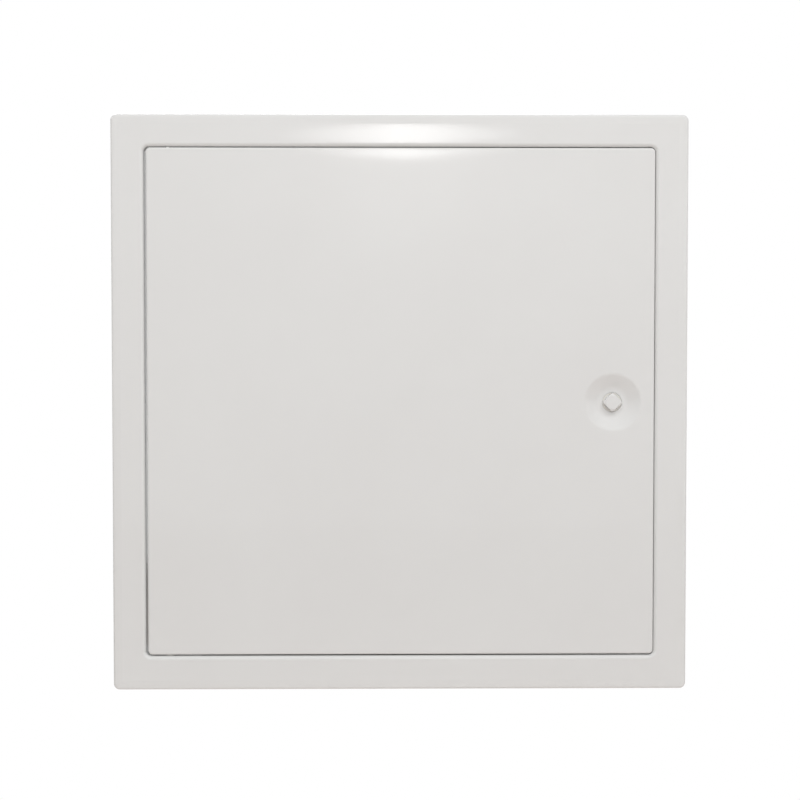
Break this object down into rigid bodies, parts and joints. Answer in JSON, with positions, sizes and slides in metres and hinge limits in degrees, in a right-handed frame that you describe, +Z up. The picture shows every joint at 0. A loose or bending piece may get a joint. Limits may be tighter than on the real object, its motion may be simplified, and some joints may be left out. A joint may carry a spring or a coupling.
{
  "type": "access panel",
  "caption": "Square sheet-steel access panel: frame with a softly sloped margin, a flush hinged door, a square-key cam lock in a pressed dish and a sprung hinge pin for lifting the door out.",
  "frame": {"origin": "middle of the opening, on the wall's surface, where the frame's folded edge meets the wall", "axes": "+X to the right as seen from the room, +Y into the wall, +Z up the panel; the door's face looks along -Y"},
  "size_m": [0.33, 0.074, 0.33],
  "materials": {
    "coated_steel": "off-white powder coat, satin with a fine orange peel",
    "plated_steel": "bright zinc plating",
    "galvanised_steel": "hot-dip galvanised strip with a faint spangle",
    "rivet_steel": "set steel rivets, zinc plated",
    "bright_steel": "bright drawn rod",
    "spring_steel": "oiled spring steel",
    "nylon": "natural white nylon"
  },
  "bodies": {
    "frame": {"frame": "coated_steel", "top_stop": "coated_steel", "bottom_stop": "coated_steel", "lock_stop": "coated_steel", "upper_hinge_plate": "plated_steel", "lower_hinge_plate": "plated_steel", "upper_left_anchor": "galvanised_steel", "lower_left_anchor": "galvanised_steel", "upper_right_anchor": "galvanised_steel", "lower_right_anchor": "galvanised_steel", "anchor_rivets": "rivet_steel"},
    "door": {"door_panel": "coated_steel", "upper_pin_bracket": "plated_steel", "lower_pin_bracket": "plated_steel", "lower_hinge_pin": "bright_steel", "lower_pin_ring": "spring_steel", "thrust_washer": "nylon", "pin_spring": "spring_steel", "lock_bush": "nylon"},
    "sprung_pin": {"upper_hinge_pin": "bright_steel", "upper_pin_ring": "spring_steel"},
    "lock": {"lock_spindle": "coated_steel", "wave_washer": "spring_steel", "lock_cam": "plated_steel", "cam_washer": "plated_steel", "cam_nut": "plated_steel"}
  },
  "joints": [
    {"name": "door_swing", "type": "hinge", "parent": "frame", "child": "door", "pos_m": [-0.13255, -0.0007, 0], "axis": [0, 0, -1], "range_deg": [0, 115]},
    {"name": "pin_retract", "type": "slide", "parent": "door", "child": "sprung_pin", "axis": [0, 0, -1], "range_m": [0, 0.005], "stiffness_N_per_m": 400, "springref_m": -0.008, "deforming": ["pin_spring"]},
    {"name": "lock_turn", "type": "hinge", "parent": "door", "child": "lock", "pos_m": [0.1221, 0.0043, 0], "axis": [0, -1, 0], "range_deg": [0, 90]}
  ]
}
